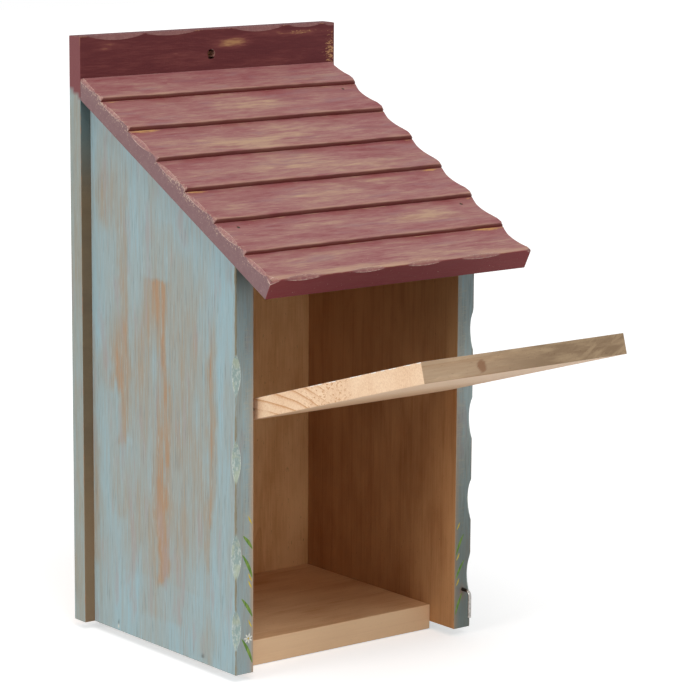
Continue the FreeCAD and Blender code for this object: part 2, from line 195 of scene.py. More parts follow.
class Board:
    """One board: flat keeps the lattice box, points the worked shape and masks the paint zones."""

    def __init__(self, low, high, steps, extra=((), (), ())):
        self.flat, self.quads = shell(*map(lines, low, high, steps, extra))
        self.points = self.flat.copy()
        self.low, self.high = self.flat.min(0), self.flat.max(0)
        self.slides = {}
        self.masks = {}
        for name in ("edge", "outline_and_hole_highlight", "carved", "bare", "worn"):
            self.masks[name] = np.zeros(len(self.flat))

    def inset(self, side):
        """Distance of each lattice point from one side."""
        axis, end = side
        return (self.flat[:, axis] - self.low[axis]) if end < 0 else (self.high[axis] - self.flat[:, axis])

    def on(self, side):
        return self.inset(side) < TINY

    def mark(self, name, values, side=None):
        """Raise a mask to the given values, on one side or all over."""
        if side is not None:
            values = values * self.on(side)
        self.masks[name] = np.maximum(self.masks.get(name, np.zeros(len(self.flat))), values)

    def slide(self, side, rows, amount):
        """Move points away from a side; where two edges meet, a point keeps the larger of their moves."""
        before = self.slides.get(side, np.full(len(self.flat), -np.inf))
        after = np.where(rows, np.maximum(before, amount), before)
        change = np.where(np.isfinite(after), after, 0) - np.where(np.isfinite(before), before, 0)
        self.points[:, side[0]] -= side[1] * change
        self.slides[side] = after

    def work_edge(self, a, b, ease, depth=0.0, wear=1.0):
        """Ease the edge between two sides, and cut a flat facet across it where depth is above zero."""
        width = np.maximum(ease, np.broadcast_to(depth, len(self.flat)) * ROOT2)
        cut = smooth((width / ease - 1) * 2)
        for again, (face, other) in enumerate(((a, b), (b, a))):
            near = self.inset(other)
            rows = self.on(face) & (near < REACH)
            if again:
                rows &= near > TINY
            share = np.minimum(near / FACET_ROWS, 1)
            turn = (1 + share) * math.pi / 4
            along = blend(width * (1 - np.cos(turn)), width * (1 + share) / 2, cut)
            inward = blend(width * (1 - np.sin(turn)), width * (1 - share) / 2, cut)
            beyond = near > FACET_ROWS + TINY
            rest = width + (near - FACET_ROWS) * (REACH - width) / (REACH - FACET_ROWS)
            along = np.where(beyond, rest, along)
            inward = np.where(beyond, 0, inward)
            self.slide(other, rows, along - near)
            self.points[rows, face[0]] -= face[1] * inward[rows]
            self.mark("edge", np.where(rows, wear * np.exp(-along / EDGE_FADE), 0))
            self.mark("carved", np.where(rows & ~beyond, cut, 0))
            self.mark("outline_and_hole_highlight", np.where(rows & (np.abs(near - FACET_ROWS) < 0.05), cut, 0))

    def ease_edges(self, ease, wear=1.0, skip=()):
        """Ease every edge of the box apart from those in skip."""
        done = {frozenset(pair) for pair in skip}
        sides = (LEFT, RIGHT, FRONT, REAR, UNDER, TOP)
        for index, a in enumerate(sides):
            for b in sides[index + 1:]:
                if a[0] != b[0] and frozenset((a, b)) not in done:
                    self.work_edge(a, b, ease, wear=wear)

    def dimple(self, side, centre, radius, depth):
        """Press a small round hollow into a side, about a place given by the other two coordinates."""
        axis, end = side
        others = [other for other in (X, Y, Z) if other != axis]
        away = np.hypot(*(self.points[:, other] - place for other, place in zip(others, centre)))
        press = smooth((radius - away) / (0.35 * radius)) * self.on(side)
        self.points[:, axis] -= end * depth * press


def turned(points, angle, pivot_y, pivot_z):
    """Points turned about an X line through a pivot, from coordinates that have the pivot as origin."""
    c, s = math.cos(angle), math.sin(angle)
    x, y, z = points[:, X], points[:, Y], points[:, Z]
    return np.stack([x, pivot_y + y * c - z * s, pivot_z + y * s + z * c], 1)


def add_object(name, data):
    thing = bpy.data.objects.new(name, data)
    bpy.context.scene.collection.objects.link(thing)
    return thing


def add_mesh(name, points, faces, materials, body, masks=None, sharp=40):
    """New mesh object from millimetre points, riding on a body."""
    mesh = bpy.data.meshes.new(name)
    mesh.from_pydata((np.asarray(points) * MM).tolist(), [], [list(face) for face in faces])
    for key, values in (masks or {}).items():
        mesh.attributes.new(key, "FLOAT", "POINT").data.foreach_set("value", values.astype(np.float32))
    mesh.shade_smooth()
    mesh.set_sharp_from_angle(angle=math.radians(sharp))
    for material in materials:
        mesh.materials.append(material)
    piece = add_object(name, mesh)
    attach(piece, body)
    return piece


def add_board(name, board, material, body, node):
    piece = add_mesh(name, board.points, board.quads.tolist(), [material], body, board.masks)
    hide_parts(node)


# Materials


def srgb(red, green, blue):
    """Linear colour of an sRGB triple from 0 to 255."""
    channels = []
    for value in (red, green, blue):
        value /= 255
        channels.append(value / 12.92 if value <= 0.04045 else ((value + 0.055) / 1.055) ** 2.4)
    return (*channels, 1)


def feed(socket, value):
    """Link an output to an input socket, or give the socket a plain value."""
    if isinstance(value, bpy.types.NodeSocket):
        socket.id_data.links.new(value, socket)
    else:
        socket.default_value = value


def add_node(tree, kind, inputs, **settings):
    """New node with its settings made and its inputs fed, by name or number."""
    node = tree.nodes.new(kind)
    for name, value in settings.items():
        setattr(node, name, value)
    for key, value in inputs.items():
        feed(node.inputs[key], value)
    return node


class Shader:
    """One node material; its methods add nodes and give an output socket."""

    def __init__(self, name, rough):
        self.material = bpy.data.materials.new(name)
        self.material.use_nodes = True
        self.tree = self.material.node_tree
        self.surface = self.tree.nodes["Principled BSDF"]
        self.set("Roughness", rough)
        self.set("Specular IOR Level", 0.2)
        self.place = self.add("ShaderNodeTexCoord", {}).outputs["Object"]

    def add(self, kind, inputs, **settings):
        """New node; an input that is given as a string takes the mask of that name."""
        fed = {key: self.mask(value) if isinstance(value, str) else value for key, value in inputs.items()}
        return add_node(self.tree, kind, fed, **settings)

    def set(self, name, value):
        feed(self.surface.inputs[name], value)

    def math(self, operation, *values):
        return self.add("ShaderNodeMath", dict(enumerate(values)), operation=operation).outputs[0]

    def total(self, *terms):
        """Sum of sockets or numbers, each with a factor."""
        result = 0.0
        for value, factor in terms:
            result = self.math("MULTIPLY_ADD", value, factor, result)
        return result

    def stretched(self, sizes, shift=0.0, tilt=0.0):
        """Object coordinates divided by a size in millimetres along each axis, tilted about Y."""
        offsets = (shift, shift * 1.7, shift * 0.6)
        inputs = {
            "Vector": self.place,
            "Location": [-offset * size * MM for offset, size in zip(offsets, sizes)],
            "Rotation": (0, tilt, 0),
            "Scale": [size * MM for size in sizes],
        }
        return self.add("ShaderNodeMapping", inputs, vector_type="TEXTURE").outputs[0]

    def noise(self, sizes, detail=2.0, rough=0.5, shift=0.0, tilt=0.0):
        place = self.stretched(sizes, shift, tilt)
        inputs = {"Vector": place, "Scale": 1, "Detail": detail, "Roughness": rough}
        return self.add("ShaderNodeTexNoise", inputs).outputs[0]

    def step(self, value, low, high):
        inputs = {"Value": value, "From Min": low, "From Max": high}
        return self.add("ShaderNodeMapRange", inputs, interpolation_type="SMOOTHSTEP").outputs[0]

    def mix(self, share, base, other, strength=None):
        """Two colours, each a socket or an sRGB triple, mixed by a share that a strength may weaken."""
        if strength is not None:
            share = self.math("MULTIPLY", share, strength)
        inputs = {0: share}
        for key, colour in ((6, base), (7, other)):
            inputs[key] = colour if isinstance(colour, bpy.types.NodeSocket) else srgb(*colour)
        return self.add("ShaderNodeMix", inputs, data_type="RGBA").outputs[2]

    def ramp(self, value, stops):
        node = self.add("ShaderNodeValToRGB", {0: value})
        elements = node.color_ramp.elements
        while len(elements) < len(stops):
            elements.new(1)
        for element, (position, colour) in zip(elements, stops):
            element.position = position
            element.color = srgb(*colour)
        return node.outputs[0]

    def mask(self, name):
        return self.add("ShaderNodeAttribute", {}, attribute_name=name).outputs["Fac"]

    def ragged(self, name, noise, gain, low, high, weight=1.0):
        """A mask whose border is broken up by a noise."""
        level = self.total((name, weight), (noise, gain), (1.0, -gain / 2))
        return self.step(level, low, high)

    def bump(self, height, depth):
        node = self.add("ShaderNodeBump", {"Height": height, "Distance": depth * MM})
        self.set("Normal", node.outputs[0])


def along_grain(axis, across, length):
    """Noise sizes that are long along the grain axis and narrow across it."""
    sizes = [across] * 3
    sizes[axis] = length
    return sizes


def gritty(shader):
    """Fine noise of sanded paint."""
    return shader.noise([1.6, 1.6, 1.6], 3, 0.7, 7.7)


# Growth rings: how much they change along the grain, and how sharply they darken
RING_RUN = 0.03
LATE_WOOD = 6.0


def wood(shader, grain, pith, spacing, light, dark, rings=0.5, cloudy=1.6):
    """Colour and height of planed pine: rings about a pith line, and fibres along the grain."""
    shares = [RING_RUN if axis == grain else 1.0 for axis in (X, Y, Z)]
    inputs = {
        "Vector": shader.place,
        "Location": [-place / spacing * share for place, share in zip(pith, shares)],
        "Scale": [share / (spacing * MM) for share in shares],
    }
    about_pith = shader.add("ShaderNodeMapping", inputs).outputs[0]
    length = shader.add("ShaderNodeVectorMath", {0: about_pith}, operation="LENGTH").outputs["Value"]
    wobble = shader.noise(along_grain(grain, 45, 240), 2, shift=3.1)
    distance = shader.total((length, 1.0), (wobble, 1.0))
    late = shader.math("POWER", shader.math("FRACT", distance), LATE_WOOD)
    ring = shader.math("MULTIPLY", late, rings)
    fibre = shader.noise(along_grain(grain, 0.9, 26), 3, 0.6, 1.3)
    cloud = shader.noise(along_grain(grain, 22, 60), 4, 0.55, 5.2)
    share = shader.total((ring, 1.0), (fibre, 0.7), (cloud, cloudy), (1.0, -0.5 * cloudy))
    colour = shader.mix(shader.step(share, 0.0, 1.0), light, dark)
    fleck = shader.step(shader.noise(along_grain(grain, 0.8, 3.5), 2, 0.6, 6.6), 0.66, 0.74)
    colour = shader.mix(fleck, colour, [0.7 * part for part in dark], 0.5)
    return colour, shader.total((fibre, 0.6), (ring, -0.4))


# Paint ramps, from whole paint to bare wood
BLUE = [
    (0.0, (154, 184, 192)), (0.25, (156, 177, 181)), (0.45, (157, 168, 166)),
    (0.65, (158, 158, 149)), (0.84, (162, 150, 133)), (1.0, (170, 139, 111)),
]
ROSE = [
    (0.0, (140, 74, 77)), (0.3, (157, 100, 100)), (0.55, (168, 120, 114)),
    (0.75, (178, 137, 122)), (1.0, (192, 156, 130)),
]
MAROON = [
    (0.0, (90, 38, 42)), (0.35, (102, 46, 48)), (0.6, (120, 62, 60)),
    (0.8, (152, 100, 78)), (1.0, (184, 138, 96)),
]
PINE = ((242, 202, 158), (212, 160, 113))
# Bare pine on the walls' inner faces and the roof's underside, darker than the same pine on the back board:
# painted shade of the box's inside
SHADED_INNER_PINE = ((196, 146, 99), (160, 108, 66))
INSIDE_BACK = ((246, 198, 142), (208, 148, 92))
# Sanding marks, from broad to fine: sizes across and along the grain
WALL_STREAKS = ((20, 100), (2.8, 60), (0.8, 22))
ROOF_STREAKS = ((12, 55), (3.4, 24), (0.9, 8))
# Patches over a paint: sizes across and along the grain, seed, level, share and colour
WALL_TINTS = [
    ((8, 40), 6, 0.54, 0.45, (164, 152, 150)),
    ((0.9, 18), 9, 0.55, 0.5, (124, 132, 130)),
    ((0.8, 14), 13, 0.57, 0.5, (176, 190, 190)),
]
ROOF_TINTS = [
    ((6, 34), 11, 0.54, 0.4, (152, 116, 120)),
    ((8, 40), 15.5, 0.55, 0.35, (136, 70, 73)),
    ((0.7, 6), 19.5, 0.63, 0.55, (206, 172, 150)),
]
# Carved facets: two mixed colours, their outline and their patches; on the back board the outline colour
# also paints a highlight by the hanging hole
WALL_FACETS = ((140, 160, 155), (184, 194, 187), (214, 218, 212), (176, 184, 156))
ROOF_FACETS = ((154, 110, 108), (190, 150, 138), (222, 196, 182), (176, 128, 116))
BACK_FACETS = ((130, 88, 86), (146, 104, 98), (160, 120, 110), (122, 78, 76))
# Worn edges
WALL_RIM = (138, 130, 108)
ROOF_RIM = (192, 152, 118)
BACK_RIM = (168, 124, 92)


def sanding(shader, grain, streaks, base, seed, gains=(0.8, 1.0, 0.5, 0.75)):
    """How far the paint is sanded through: the worn mask broken up by streaks along the grain."""
    layers = [
        shader.noise(along_grain(grain, across, length), 4, 0.62, seed + 2 * index)
        for index, (across, length) in enumerate(streaks)
    ]
    middle = base - sum(gains[1:]) / 2
    broken = shader.math("MULTIPLY", "worn", shader.total((layers[1], 1.4), (1.0, 0.3)))
    level = shader.total((broken, gains[0]), *zip(layers, gains[1:]), (1.0, middle))
    return level, layers


def tinted(shader, paint, sizes, seed, low, share, colour):
    """Paint with patches of a second colour where a noise is above a level."""
    patch = shader.step(shader.noise(sizes, 3, 0.6, seed), low, low + 0.14)
    return shader.mix(patch, paint, colour, share)


def patched(shader, paint, grain, seed, tints):
    for sizes, offset, low, share, colour in tints:
        paint = tinted(shader, paint, along_grain(grain, *sizes), seed + offset, low, share, colour)
    return paint


def finish_board(shader, paint, fine, grain, pith, facets, rim, inside=SHADED_INNER_PINE, edge_low=0.5, cover=0.85):
    """Lay worn edges, carved facets and bare wood over a paint colour and close the material."""
    dull, bright, outline_and_hole_highlight, patch_colour = facets
    grit = gritty(shader)
    chafe = shader.noise(along_grain(grain, 2.0, 9.0), 3, 0.6, 8.4)
    colour = shader.mix(shader.ragged("edge", chafe, 1.0, edge_low, edge_low + 0.35), paint, rim)
    speck = shader.step(shader.noise(along_grain(grain, 0.9, 2.6), 3, 0.7, 9.1), 0.46, 0.64)
    facet = shader.mix(speck, dull, bright)
    patch = shader.step(shader.noise([7, 7, 7], 2, 0.5, 4.7), 0.5, 0.62)
    facet = shader.mix(patch, facet, patch_colour, 0.6)
    colour = shader.mix("carved", colour, facet, cover)
    # Facet outlines, and on the back board a painted highlight beside the hanging hole
    colour = shader.mix(shader.ragged("outline_and_hole_highlight", grit, 1.6, 0.6, 1.0), colour, outline_and_hole_highlight, 0.8)
    timber, height = wood(shader, grain, pith, 9.0, *inside, 0.2)
    shader.set("Base Color", shader.mix("bare", colour, timber))
    shader.bump(shader.total((fine, 0.7), (grit, 0.3), (height, 0.3)), 0.25)
    return shader.material


def wall_paint(shader, grain, base, seed):
    """Sanded blue paint with pinkish patches and fine dark brush lines."""
    level, layers = sanding(shader, grain, WALL_STREAKS, base, seed)
    return patched(shader, shader.ramp(level, BLUE), grain, seed, WALL_TINTS), layers[2]


# Spots over the wall paint, each a mask and its colour; the dark grey-green one is painted shade under the
# eave and of the open door, with a darker paint wash
WALL_SPOTS = {
    "shade_and_wash": (96, 104, 98), "scuff": (156, 128, 110), "chip": (218, 208, 192), "pit": (66, 58, 52),
    "gilt": (204, 164, 124),
}


def wall_material(name, grain, pith, seed):
    shader = Shader(name, 0.62)
    paint, fine = wall_paint(shader, grain, 0.32, seed)
    tick = shader.step(shader.noise([5, 5, 1.0], 2, 0.6, 6.3), 0.54, 0.62)
    paint = shader.mix(tick, paint, (180, 180, 164), "ticks")
    for spot, colour in WALL_SPOTS.items():
        paint = shader.mix(spot, paint, colour)
    return finish_board(shader, paint, fine, grain, pith, WALL_FACETS, WALL_RIM)


def roof_material():
    shader = Shader("roof_rose_paint", 0.6)
    seed = 1.5
    level, (_, streak, fine) = sanding(shader, X, ROOF_STREAKS, 0.4, seed, (0.5, 0.8, 1.1, 0.9))
    paint = patched(shader, shader.ramp(level, ROSE), X, seed, ROOF_TINTS)
    paint = shader.mix("lip", paint, (198, 156, 132), shader.step(streak, 0.25, 0.55))
    side = shader.mix(streak, (124, 90, 93), (142, 114, 114))
    side = tinted(shader, side, [1.1, 1.1, 1.1], 15.0, 0.6, 0.5, (184, 156, 148))
    paint = shader.mix("side", paint, side)
    # Crimson by the steps, and painted shade that darkens the roof's front face
    paint = shader.mix("crimson_and_front_shade", paint, (136, 58, 60))
    paint = shader.mix(shader.ragged("gold", fine, 1.6, 0.4, 0.7), paint, (206, 156, 100))
    crumb = shader.noise([1.0, 1.0, 1.0], 3, 0.7, 11.3)
    paint = shader.mix(shader.ragged("flake", crumb, 2.0, 0.35, 0.5, 0.5), paint, (204, 176, 158), 0.8)
    # Risers: darker paint with painted shade on the step's riser
    paint = shader.mix("riser_paint_and_shade", paint, (98, 34, 29))
    return finish_board(shader, paint, fine, X, (0, 0, 0), ROOF_FACETS, ROOF_RIM, edge_low=0.66, cover=0.65)


def back_material():
    shader = Shader("back_board_paint", 0.62)
    blue, _ = wall_paint(shader, Z, 0.42, 4.4)
    level, (broad, _, fine) = sanding(shader, X, ROOF_STREAKS, 0.3, 6.4, (0.75, 0.6, 0.6, 0.6))
    strip = shader.mix(broad, (98, 84, 68), (132, 112, 86))
    strip = shader.mix("tan", strip, (148, 122, 94))
    strip = shader.mix("teal", strip, (92, 118, 122))
    blue = shader.mix("side", blue, (128, 126, 108), 0.22)
    blue = shader.mix("strip", blue, strip)
    maroon = shader.mix("side", shader.ramp(level, MAROON), (126, 73, 75))
    paint = shader.mix("rose", blue, maroon)
    fleck = shader.noise([2.4, 2.4, 1.0], 3, 0.65, 3.9)
    paint = shader.mix(shader.ragged("gold", fleck, 1.6, 0.42, 0.6, 0.5), paint, (186, 140, 98))
    return finish_board(shader, paint, fine, Z, (30, 190, 0), BACK_FACETS, BACK_RIM, INSIDE_BACK)


def bare_material(name, grain, pith, colours):
    shader = Shader(name, 0.7)
    colour, height = wood(shader, grain, pith, 8.0, *colours, 0.2)
    shader.set("Base Color", shader.mix("lighter_front", colour, (255, 220, 180), 0.7))
    shader.bump(height, 0.2)
    return shader.material


def cloudy_metal(shader, colour, spot):
    """Make a material metal and give its cloudy colour."""
    cloud = shader.step(shader.noise([1.1, 1.1, 1.1], 3, 0.6, 2.2), 0.4, 0.65)
    shader.set("Metallic", 1.0)
    shader.bump(cloud, 0.05)
    return shader.mix(cloud, colour, spot)


def nail_material():
    shader = Shader("nail_steel_dark", 0.55)
    shader.set("Base Color", cloudy_metal(shader, (70, 62, 58), (104, 84, 68)))
    return shader.material


# Where the hook's arm turns into its leg, and the length over which the painted dark reflection on the arm
# fades in
HOOK_BEND_Y = -85.6
HOOK_FADE = 1.5


def hook_material():
    """Zinc plate, bright on the hook's leg; its arm is painted dark as a painted reflection of darker
    surroundings.
    """
    shader = Shader("hook_zinc_plate", 0.32)
    bright = cloudy_metal(shader, (184, 182, 178), (146, 144, 140))
    depth = shader.add("ShaderNodeSeparateXYZ", {0: shader.place}).outputs["Y"]
    dark_arm_reflection = shader.step(depth, HOOK_BEND_Y * MM, (HOOK_BEND_Y + HOOK_FADE) * MM)
    shader.set("Base Color", shader.mix(dark_arm_reflection, bright, (74, 66, 60)))
    return shader.material


# Side walls

WALL_SCALLOPS = {
    "left": [(29.7, 24, 2.5), (70.2, 28, 2.7), (123.1, 25, 2.5), (170.8, 25, 2.4)],
    "right": [(35.2, 26, 2.3), (79.6, 26, 2.4), (126.7, 27, 2.3), (177.5, 26, 2.2)],
}
WALL_NAILS = ("hinge", "front_floor", "rear_floor")
# Filler over those nails: radius of each, and height
FILLERS = (3.8, 2.4, 2.4)
FILLER_HEIGHT = 0.08
# Lattice lines about the floor nails, up from a wall's foot, and the size of the eased edge there
FOOT_LINES = np.array([2.1, 3.1, 3.5, 4.3])
FOOT_EASE = {"left": 0.4, "right": 1.6}
# Front strips: painted shade under the eave near the top and where it starts, and the rubbed inner edge and
# its width
EAVE_SHADE = {"left": 0.95, "right": 0.45}
EAVE_SHADE_Z = 208
INNER_RUB = {"left": 0.8, "right": 0.45}
INNER_RUB_WIDTH = 4.2
# Streaks sanded to the wood: middle and half width along the wall, low and high end, and strength
LEFT_BANDS = [
    (-11, 6, 42, 130, 1.0), (-14, 4, 100, 215, 0.8), (26, 5.5, 116, 215, 0.65), (31, 11, 146, 200, 0.6),
    (-58, 3.6, 86, 215, 0.6), (-53, 3, 60, 130, 0.48), (26, 8, 72, 120, 0.4), (-53, 8, 8, 50, 0.3),
    (56, 3, 40, 190, 0.4), (27, 5, 190, 290, 0.35), (47, 5, 236, 300, 0.4),
]
# Straight ends of the sanding strokes, at their low end and, with heights below zero, at their high end
LEFT_STROKES = [(-12, 34, 42, 130, 0.25), (-22, 24, 66, 150, 0.2), (-8, 24, 20, 66, 0.25)]
LEFT_PATCHES = [(-7, 11, -213, -165, 0.55), (-18, 6, -246, -222, 0.35), (-50, 11, -246, -218, 0.35)]
# Sanded haze and whole paint: middle and half size along the wall and up it, and strength
LEFT_HAZE = [
    (-20, 145, 34, 78, 0.5), (-14, 80, 44, 30, 0.35), (4, 150, 18, 60, 0.45), (36, 262, 18, 26, 0.3),
    (50, 160, 9, 14, 0.4), (30, 90, 14, 24, 0.35),
]
LEFT_WHOLE = [(-72, 120, 8, 120, 0.3), (47, 210, 10, 36, 0.3), (44, 95, 12, 36, 0.25), (8, 22, 46, 16, 0.05)]


def wall_wear(side, y, z, top):
    """How far a wall is sanded at each point, below zero where its paint is whole."""
    rows, haze = LEFT_BANDS, LEFT_HAZE
    if side == "right":
        rows = random_bands(11, 16, (-74, 56), (20, 270))
        haze = [(-row[0], *row[1:]) for row in LEFT_HAZE]
    strokes = 0.7 * bands(y, z, LEFT_STROKES, 0.0) + bands(y, -z, LEFT_PATCHES, 0.1)
    whole = np.maximum(rubs(y, z, LEFT_WHOLE), 0.35 * smooth(1 - (top - z) / 40))
    return np.maximum(bands(y, z, rows), rubs(y, z, haze) + strokes - whole)


def wall_masks(board, side, places, top):
    """Paint zones of a wall: sanded streaks, bare inner faces, nail marks, the front strip's wear and
    painted shade on the front strip.
    """
    sign = SIDES[side]
    outer, inner = (X, sign), (X, -sign)
    x, y, z = board.points.T
    board.masks["worn"] = wall_wear(side, y, z, top) * (board.inset(outer) < 6)
    board.mark("worn", 0.1, FRONT)
    board.mark("bare", np.maximum(board.on(inner), board.on(REAR)))
    board.masks["bare"][board.on(FRONT) | board.on(outer)] = 0
    _, front_nail, rear_nail = places
    pits = [
        (front_nail[Y], front_nail[Z] + 0.8, 1.4, 0.5, 1.0),
        (rear_nail[Y], rear_nail[Z] + 1.5, 0.8, 0.5, 1.0),
    ]
    board.mark("pit", rubs(y, z, pits), outer)
    board.mark("chip", rubs(y, z, [(rear_nail[Y], rear_nail[Z] - 0.2, 0.7, 1.2, 1.0)]), outer)
    board.mark("gilt", 0.8 * (board.inset(REAR) < 1.2), outer)
    # Painted shade under the eave, at the top of each front strip
    board.mark("shade_and_wash", EAVE_SHADE[side] * smooth((z - EAVE_SHADE_Z) / 24), FRONT)
    rubbed = INNER_RUB[side] * blend(0.6, 1.0, smooth((190 - z) / 90))
    board.mark("gilt", rubbed * smooth((INNER_RUB_WIDTH - board.inset(inner)) / INNER_RUB_WIDTH), FRONT)
    board.mark("ticks", 0.4 * ((board.inset(inner) < 6) & (z > 60) & (z < 205)), FRONT)
    if side == "right":
        # Painted shadow of the open door with a darker paint wash, growing towards the bottom of the right
        # strip
        board.mark("shade_and_wash", 0.65 * smooth((150 - z) / 110), FRONT)
        board.mark("scuff", rubs(x, z, [(76.8, 25.5, 2.2, 4.0, 0.8)]), FRONT)


def build_wall(side):
    """One side wall: a box lattice that is carved and then squeezed under the roof's slope."""
    sign = SIDES[side]
    low, high = extent(f"{side}_wall")
    front_top = high[Z] - (high[Y] - low[Y]) * math.tan(SLOPE)
    squeeze = (front_top - low[Z]) / (high[Z] - low[Z])
    places = [centre_of(f"{side}_{kind}_nail") for kind in WALL_NAILS]
    ends = [low[Z] + (z - low[Z]) / squeeze for z in scallop_ends(WALL_SCALLOPS[side])]
    hinge_z = low[Z] + (places[0][Z] - low[Z]) / squeeze
    nail_lines = around([place[Y] for place in places])
    heights = [*ends, *(low[Z] + FOOT_LINES), *around([hinge_z])]
    board = Board(low, high, (2.2, 2.6, 2.6), ((), nail_lines, heights))
    outer, inner = (X, sign), (X, -sign)
    front_z = low[Z] + (board.flat[:, Z] - low[Z]) * squeeze
    board.work_edge(outer, FRONT, 0.8, scallop_depth(front_z, WALL_SCALLOPS[side]), wear=1.15)
    board.work_edge(inner, FRONT, 0.35, wear=0.2)
    board.work_edge(outer, UNDER, FOOT_EASE[side], wear=0.75)
    board.work_edge(outer, REAR, 0.4, wear=0.2)
    board.ease_edges(0.35, 0.75, [(outer, FRONT), (inner, FRONT), (outer, UNDER), (outer, REAR)])
    top = front_top + (board.points[:, Y] - low[Y]) * math.tan(SLOPE)
    board.points[:, Z] = low[Z] + (board.points[:, Z] - low[Z]) * (top - low[Z]) / (high[Z] - low[Z])
    for place, radius in zip(places, FILLERS):
        board.dimple(outer, (place[Y], place[Z]), radius, -FILLER_HEIGHT)
    wall_masks(board, side, places, top)
    material = wall_material(f"{side}_wall_paint", Z, (sign * 40, 150, 0), 2.0 + sign)
    add_board(f"{side}_wall_board", board, material, "box", f"{side}_wall")


# Back board with its hanging hole

BACK_SCALLOPS = [(-65, 40, 2.0), (-28, 39, 1.4), (34.5, 38, 1.9), (68, 26, 1.2), (88, 14, 1.2)]
# Rubs: middle height, middle across, half height, half width and strength
BACK_RUBS = [
    (336, -72, 2.4, 7, 0.6), (334, 16, 2.4, 11, 0.75), (338, 62, 1.4, 22, 0.5), (325, -20, 5, 20, 0.3),
    (322, 40, 4, 18, 0.3),
]
BACK_GOLD = [(326, 87, 16, 6, 1.05), (338, 64, 2.0, 18, 0.9)]
# The maroon paint's lower border on the front face, and its rise towards the rear
MAROON_Z = 308.3
MAROON_RISE = 0.39
# Hanging hole: below the top, its radius, and half sizes of the lattice squares reshaped and cut for it
HOLE_DROP = 14.0
HOLE_RADIUS = 2.5
HOLE_BLOCK = 6.0
HOLE_CUT = 3.0


def pierce(board, side_axis, centre, radius):
    """Open a round hole through a board: cut a square from the lattice and draw its rim to a circle."""
    others = [axis for axis in (X, Y, Z) if axis != side_axis]
    away = board.flat[:, others] - centre
    square = np.abs(away).max(1)
    faced = board.on((side_axis, -1)) | board.on((side_axis, 1))
    near = faced & (square < HOLE_BLOCK - TINY) & (square > HOLE_CUT - TINY)
    share = ((square - HOLE_CUT) / (HOLE_BLOCK - HOLE_CUT))[:, None]
    length = np.maximum(np.linalg.norm(away, axis=1), TINY)[:, None]
    place = blend(away / length * radius, away, share) + centre
    board.points[np.ix_(near, others)] = place[near]
    inside = faced & (square < HOLE_CUT - TINY)
    board.quads = board.quads[~inside[board.quads].any(1)]
    rim = np.where(faced & (np.abs(square - HOLE_CUT) < TINY))[0]
    angle = np.arctan2(away[:, 1], away[:, 0])
    loops = []
    for end in (-1, 1):
        loop = rim[board.on((side_axis, end))[rim]]
        loops.append(loop[np.argsort(angle[loop])])
    front, rear = loops
    walls = np.stack([front, np.roll(front, -1), np.roll(rear, -1), rear], 1)
    board.quads = np.concatenate([board.quads, walls])
    keep = np.unique(board.quads)
    number = np.full(len(board.flat), -1)
    number[keep] = np.arange(len(keep))
    board.quads = number[board.quads]
    board.flat, board.points = board.flat[keep], board.points[keep]
    board.masks = {name: values[keep] for name, values in board.masks.items()}


def back_masks(board, hole):
    """Paint zones of the back board: maroon top, strips beside the walls, bare faces and a painted highlight
    right of the hanging hole.
    """
    x, y, z = board.points.T
    border = MAROON_Z + MAROON_RISE * (y - BACK_Y) + 0.4 * ripple(x + y, 3, 9)
    board.mark("rose", smooth((z - border) / 1.2 + 0.5))
    ends = board.on(LEFT) | board.on(RIGHT)
    board.mark("side", ends)
    below = z < WALL_PEAK_Z + 4
    cavity = (np.abs(x) < INNER_X + 5) & below
    board.mark("bare", np.maximum(board.on(FRONT) & cavity, board.on(REAR) & ~ends))
    board.mark("strip", (np.abs(x) > INNER_X + 5) & below, FRONT)
    board.mark("teal", 0.8 * smooth((z - 245) / 55))
    board.mark("tan", 0.7 * smooth((130 - z) / 90))
    worn = rubs(z, x, BACK_RUBS)
    board.masks["worn"] = np.where(board.masks["rose"] > 0.5, worn, 0.1 + 0.1 * ripple(z, 5, 160))
    board.mark("gold", rubs(z, x, BACK_GOLD), FRONT)
    rim = np.hypot(x - hole[0], z - hole[1])
    # Painted highlight: a light crescent on the front face, right of the hanging hole
    board.mark("outline_and_hole_highlight", smooth((3.4 - rim) / 0.8) * smooth(x - hole[0]), FRONT)


def build_back():
    low, high = extent("back_board")
    hole = np.array([0.0, high[Z] - HOLE_DROP])
    block = np.arange(-HOLE_BLOCK, HOLE_BLOCK + TINY, 1.0)
    levels = ("lower", "middle", "upper")
    places = [centre_of(f"{side}_{level}_back_nail") for side in SIDES for level in levels]
    nail_heights = [place[Z] for place in places[:len(levels)]]
    across = [*scallop_ends(BACK_SCALLOPS), *block, *around([-WALL_MID_X, WALL_MID_X])]
    heights = [*(hole[1] + block), *around(nail_heights)]
    board = Board(low, high, (2.6, 2.2, 2.6), (across, (), heights))
    pierce(board, Y, hole, HOLE_RADIUS)
    board.work_edge(FRONT, TOP, 0.5, scallop_depth(board.flat[:, X], BACK_SCALLOPS), wear=0.7)
    board.ease_edges(0.4, 0.6, [(FRONT, TOP)])
    for place in places:
        board.dimple(REAR, (place[X], place[Z]), 1.9, 0.3)
    back_masks(board, hole)
    add_board("back_board_painted", board, back_material(), "box", "back_board")


# Floor board


def build_floor():
    low, high = extent("floor_board")
    board = Board(low, high, (5, 5, 2.4))
    board.ease_edges(0.5)
    # The front face is mixed towards a lighter pine
    board.mark("lighter_front", 1.0, FRONT)
    material = bare_material("floor_pine", X, (0, -40, 120), PINE)
    add_board("floor_board_bare", board, material, "box", "floor_board")


# Roof board: worked flat, with +Y up the slope, then tilted

